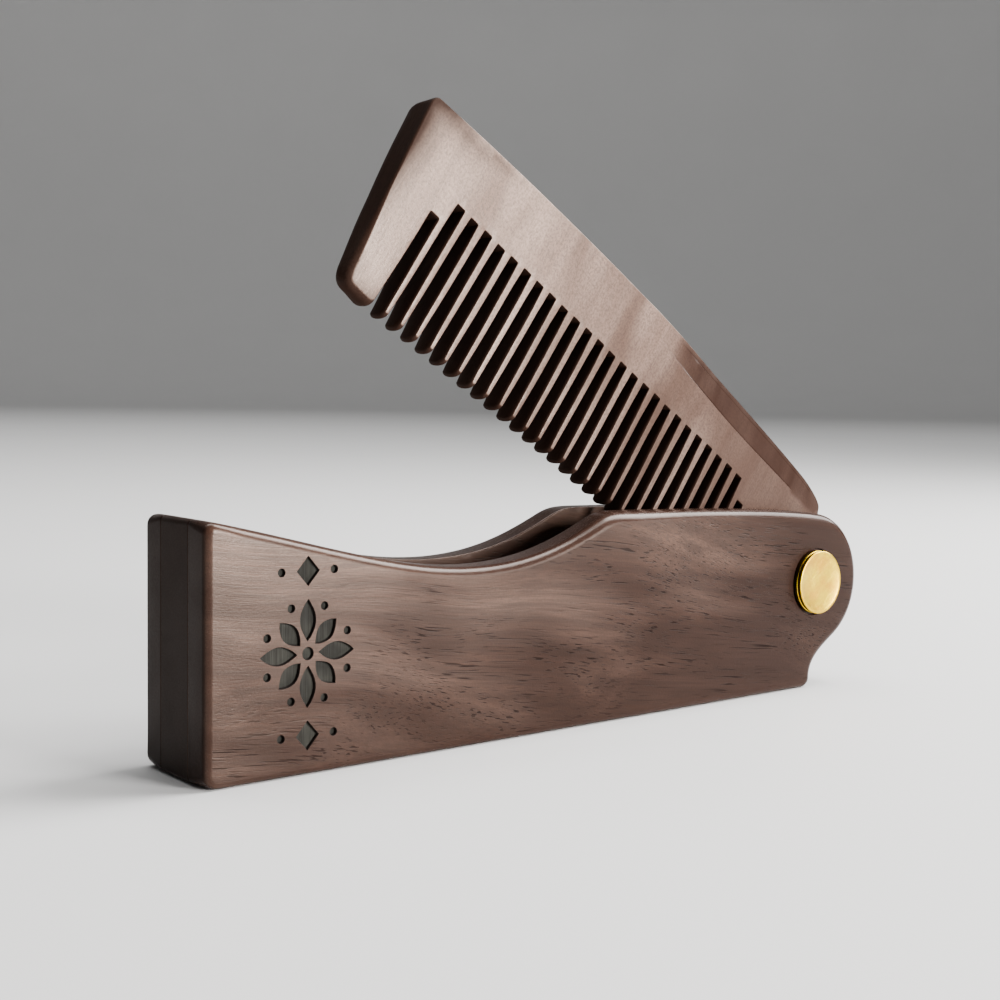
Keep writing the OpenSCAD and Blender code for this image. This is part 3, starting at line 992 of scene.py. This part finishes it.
def brass_material(name, shade):
    """Satin brass, lightly scratched, with faint warm patches."""
    n = Nodes(name)
    place = n.grain_space(0)
    patches = n.noise(n.stretch(place, (2.6, 2.6, 2.2)), 4.0, 0.6)
    dots = n.noise(n.stretch(place, (0.3, 0.3, 0.3)), 3.0, 0.6)
    scratch = n.noise(n.stretch(n.grain_space(33), (3.4, 0.1, 0.05)), 1.0, 0.5)
    cross = n.noise(n.stretch(n.grain_space(-52), (2.6, 0.1, 0.06)), 1.0, 0.5)
    bright = tuple(shade * c for c in (0.7, 0.47, 0.014))
    warm = tuple(shade * c for c in (0.58, 0.32, 0.01))
    color = n.mix(n.between(patches, 0.42, 0.62), bright, warm)
    color = n.mix(n.between(dots, 0.52, 0.7, 0.0, 0.45), color, (0.5, 0.27, 0.06))
    # The heads' side walls are drawn nearly black: painted shade.
    side = n.node("SeparateXYZ", {0: n.node("TexCoord", out="Normal")}, out=1)
    color = n.mix(n.between(n.math("ABSOLUTE", side), 0.2, 0.6, 0.92, 0), color, (0.09, 0.05, 0.014))
    marks = n.math("ADD", n.between(scratch, 0.62, 0.74), n.between(cross, 0.64, 0.76), clamp=True)
    gloss = n.math("ADD", n.between(patches, 0.35, 0.7, 0.3, 0.42), n.math("MULTIPLY", marks, 0.12))
    relief = n.math("SUBTRACT", n.math("MULTIPLY", dots, 0.6), marks)
    return n.finish(color, gloss, n.bump(relief, 0.00001, 0.6), Metallic=1.0)


def plain(name, color, roughness):
    """A matt studio surface with a very faint unevenness."""
    n = Nodes(name)
    place = n.node("TexCoord", out="Object")
    patches = n.noise(n.node("Mapping", {"Vector": place, "Scale": (9, 9, 9)}), 2.0)
    shade = n.mix(n.between(patches, 0.3, 0.7), color, tuple(0.985 * c for c in color))
    gloss = n.between(patches, 0.3, 0.7, roughness, roughness + 0.05)
    return n.finish(shade, gloss, n.bump(patches, 0.0001, 0.1))


GRAIN_ACROSS_BLADE = 90 - OPEN_ANGLE  # the blade's grain runs along its teeth


def in_blade_grain(x):
    """Where a place on the blade's own X axis lies in the coordinates that its grain follows."""
    spot = PIVOT + Matrix.Rotation(radians(OPEN_ANGLE), 3, "Y") @ Vector((x, 0, 5))
    turned = Matrix.Rotation(radians(GRAIN_ACROSS_BLADE), 3, "Y") @ spot
    return turned.x, turned.z


# The blade is drawn paler at its free end and darker towards the tang: painted light and shade, with some
# natural tone.
BLADE_PALE, BLADE_DEEP = in_blade_grain(-78), in_blade_grain(-36)
# The handle is drawn paler high near the butt and darker downwards: painted light and shade.
handle_wood = wood(
    "oiled_handle_wood", -7,
    dark=(0.0115, 0.0048, 0.0032), middle=(0.046, 0.0215, 0.0145), light=(0.1, 0.054, 0.038),
    rim_color=(0.024, 0.0105, 0.0072), rim_share=0.6, pore_share=0.78, streak=0.62, wander=16, mottle=0.25,
    rough=0.34, polish=0.12, dull=0.0, gloss_level=0.3, paler_end=(-38, 33), darker_end=(-22, -3)
)
spacer_wood = wood(
    "oiled_spacer_wood", 0,
    dark=(0.0125, 0.006, 0.0042), middle=(0.036, 0.018, 0.0125), light=(0.062, 0.033, 0.024),
    rim_color=(0.022, 0.0105, 0.0075), rim_share=0.5, pore_share=0.8, streak=0.6, wander=5, mottle=0.3,
    rough=0.42, polish=0.1, dull=0.0, gloss_level=0.24, paler_end=(-60, 0), darker_end=(60, 0)
)
blade_wood = wood(
    "smooth_blade_wood", GRAIN_ACROSS_BLADE,
    dark=(0.034, 0.0172, 0.0122), middle=(0.15, 0.088, 0.064), light=(0.28, 0.188, 0.148),
    rim_color=(0.0165, 0.0075, 0.0052), rim_share=0.94, pore_share=0.1, streak=0.24, wander=11, mottle=0.6,
    rough=0.35, polish=-0.12, dull=0.92, gloss_level=0.42, paler_end=BLADE_PALE, darker_end=BLADE_DEEP
)
burnt_wood = burnt("burnt_recess")
brass = brass_material("pivot_brass_finish", 1.0)
# The washers take the same brass drawn darker: painted shade between the scales and the blade.
washer_brass = brass_material("washer_brass_finish", 0.85)

# ---- Pieces ----

scale_piece("front_scale_body", "front_scale", -1, ornament())
scale_piece("rear_scale_body", "rear_scale", 1, ())
spacer_piece("butt_spacer_block", "butt_spacer", butt_spacer_outline())
spacer_piece("back_spacer_strip", "back_spacer", back_spacer_outline())
blade_piece()
pivot_pieces()
for washer in ("front_washer", "rear_washer"):
    node = frame["nodes"][washer]
    node.data.materials.clear()
    node.data.materials.append(washer_brass)

# ---- Stage, camera and lights ----

CAMERA_AT = Vector((-0.1301, -0.1473, 0.0433))
CAMERA_YAW, CAMERA_PITCH, CAMERA_ROLL = 50.668, -4.265, 0.901
CAMERA_LENS = 53.92
PALE = (0.62, 0.616, 0.61)


def make_stage():
    """A pale floor that sweeps up into a round backdrop."""
    reach, bend, height, segments = 2.6, 0.9, 2.4, 72
    profile = [(reach * t, 0) for t in (0.1, 0.4, 1)]
    profile += [(reach + bend * sin(radians(a)), bend * (1 - cos(radians(a)))) for a in range(10, 91, 10)]
    profile.append((reach + bend, height))
    points = [Vector((0, 0, 0))]
    for r, z in profile:
        points += [Vector((p.x, p.y, z)) for p in arc((0, 0), r, 0, 360, segments)]
    faces = [(0, 1 + i, 1 + (i + 1) % segments) for i in range(segments)]
    for row in range(len(profile) - 1):
        first = 1 + row * segments
        for i in range(segments):
            j = (i + 1) % segments
            faces.append((first + i, first + segments + i, first + segments + j, first + j))
    mesh = bpy.data.meshes.new("studio_floor")
    mesh.from_pydata(points, [], faces)
    mesh.polygons.foreach_set("use_smooth", [True] * len(mesh.polygons))
    mesh.materials.append(plain("pale_floor", PALE, 0.55))
    floor = bpy.data.objects.new("studio_floor", mesh)
    bpy.context.scene.collection.objects.link(floor)


def make_camera():
    yaw, pitch, roll = (radians(a) for a in (CAMERA_YAW, CAMERA_PITCH, CAMERA_ROLL))
    ahead = Vector((cos(yaw) * cos(pitch), sin(yaw) * cos(pitch), sin(pitch)))
    right = ahead.cross(Vector((0, 0, 1))).normalized()
    up = right.cross(ahead)
    level = Matrix((right, up, -ahead)).transposed()
    data = bpy.data.cameras.new("camera")
    data.lens, data.sensor_width, data.clip_start, data.clip_end = CAMERA_LENS, 36, 0.005, 20
    camera = bpy.data.objects.new("camera", data)
    camera.matrix_world = Matrix.Translation(CAMERA_AT) @ (level @ Matrix.Rotation(roll, 3, "Z")).to_4x4()
    bpy.context.scene.collection.objects.link(camera)
    bpy.context.scene.camera = camera


def soft_light(name, at, toward, size, power, color=(1, 1, 1)):
    data = bpy.data.lights.new(name, "AREA")
    data.shape, data.size, data.size_y = "RECTANGLE", size[0], size[1]
    data.energy, data.color = power, color
    light = bpy.data.objects.new(name, data)
    light.location = at
    light.rotation_mode = "QUATERNION"
    light.rotation_quaternion = (Vector(toward) - Vector(at)).to_track_quat("-Z", "Y")
    bpy.context.scene.collection.objects.link(light)


def make_lights():
    soft_light("key", (0.19, -0.56, 0.14), (-0.03, 0, 0.05), (0.2, 0.22), 11.0, (1, 0.985, 0.97))
    soft_light("top", (0.4, -0.1, 0.42), (0, 0, 0.03), (0.3, 0.6), 13.0, (1, 0.99, 0.98))
    soft_light("backdrop", (0.2, 0.5, 1.3), (0.8, 1.1, 0.3), (1.2, 1.2), 26.0)
    world = bpy.data.worlds.new("studio")
    world.use_nodes = True
    world.node_tree.nodes["Background"].inputs["Color"].default_value = (0.8, 0.82, 0.85, 1)
    world.node_tree.nodes["Background"].inputs["Strength"].default_value = 0.1
    bpy.context.scene.world = world


make_stage()
make_camera()
make_lights()
